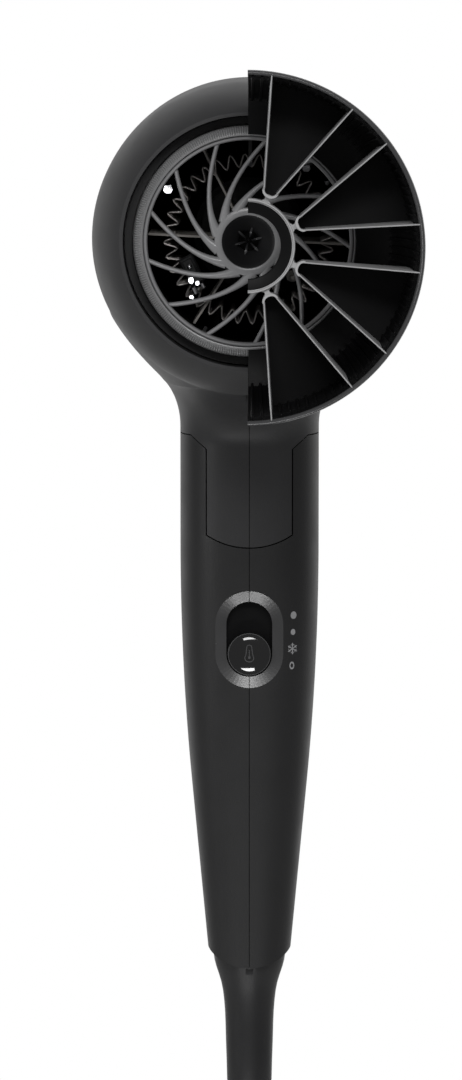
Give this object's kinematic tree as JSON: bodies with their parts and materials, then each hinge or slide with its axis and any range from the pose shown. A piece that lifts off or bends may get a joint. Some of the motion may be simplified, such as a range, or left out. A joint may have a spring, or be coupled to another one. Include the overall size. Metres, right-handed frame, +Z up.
{
  "type": "hair dryer",
  "caption": "Hair dryer with round barrel, swirl outlet grille, tapered handle with slide switch and press button, half-section bell diffuser and coiled mains cord",
  "frame": {"origin": "middle of the hand grip, on the handle's centre line", "axes": "+Z up the handle towards the barrel, nozzle facing -Y, +X to the right as seen from the front"},
  "size_m": [0.0943, 0.238, 0.4931],
  "materials": {
    "shell": "fine matte texture",
    "grip": "soft matte texture",
    "trim": "satin",
    "gloss": "polished",
    "mark": "printed grey",
    "rubber": "smooth",
    "steel": "plain",
    "nichrome": "heat-dulled wire",
    "mica": "layered mica sheet",
    "bronze": "sintered bronze",
    "copper": "enamelled winding",
    "magnet": "ferrite",
    "board": "glass-fibre board",
    "component": "moulded",
    "diffuser": "satin",
    "mesh": "woven wire"
  },
  "bodies": {
    "body": {"head_shell_left": "shell", "head_shell_right": "shell", "handle_shell_left": "grip", "handle_shell_right": "grip", "outlet_ring": "trim", "outlet_grille": "trim", "ion_emitter": "steel", "heater_sleeve": "mica", "heater_mica": "mica", "heater_wires": "nichrome", "thermostat": "steel", "thermal_fuse": "steel", "fan_housing": "trim", "motor_can": "steel", "motor_end_cap": "trim", "motor_magnets": "magnet", "motor_bearings": "bronze", "inlet_guard": "trim", "switch_module": "component", "control_board": "board", "board_parts": "component", "supply_lead": "rubber", "cord_clamp": "trim", "shell_screws": "steel", "strain_relief": "rubber", "cord_tube": "rubber", "cord_coil": "rubber", "cord_tail": "rubber", "coil_tie": "rubber", "plug_body": "rubber", "plug_pins": "steel"},
    "rotor": {"fan_impeller": "trim", "motor_shaft": "steel", "armature": "copper", "commutator": "copper"},
    "filter": {"filter_cap": "trim", "filter_mesh": "mesh"},
    "slider": {"slider_carriage": "trim"},
    "button": {"power_button": "gloss", "button_spring": "steel"},
    "clip": {"snap_ring": "trim"},
    "diffuser": {"diffuser_bell": "diffuser", "diffuser_petals": "diffuser", "diffuser_hub_ring": "diffuser"}
  },
  "joints": [
    {"name": "switch_slide", "type": "slide", "parent": "body", "child": "slider", "axis": [0, 0, 1], "range_m": [0, 0.009]},
    {"name": "button_press", "type": "slide", "parent": "slider", "child": "button", "axis": [0, 1, 0], "range_m": [0, 0.0015], "stiffness_N_per_m": 150, "springref_m": -0.003, "deforming": ["button_spring"]},
    {"name": "diffuser_turn", "type": "hinge", "parent": "body", "child": "clip", "pos_m": [0, -0.09, 0.14], "axis": [0, -1, 0], "continuous": true},
    {"name": "diffuser_pull", "type": "slide", "parent": "clip", "child": "diffuser", "axis": [0, -1, 0], "range_m": [0, 0.03]},
    {"name": "rotor_spin", "type": "hinge", "parent": "body", "child": "rotor", "pos_m": [0, 0, 0.14], "axis": [0, -1, 0], "continuous": true},
    {"name": "filter_pull", "type": "slide", "parent": "body", "child": "filter", "axis": [0, 1, 0], "range_m": [0, 0.02]}
  ]
}
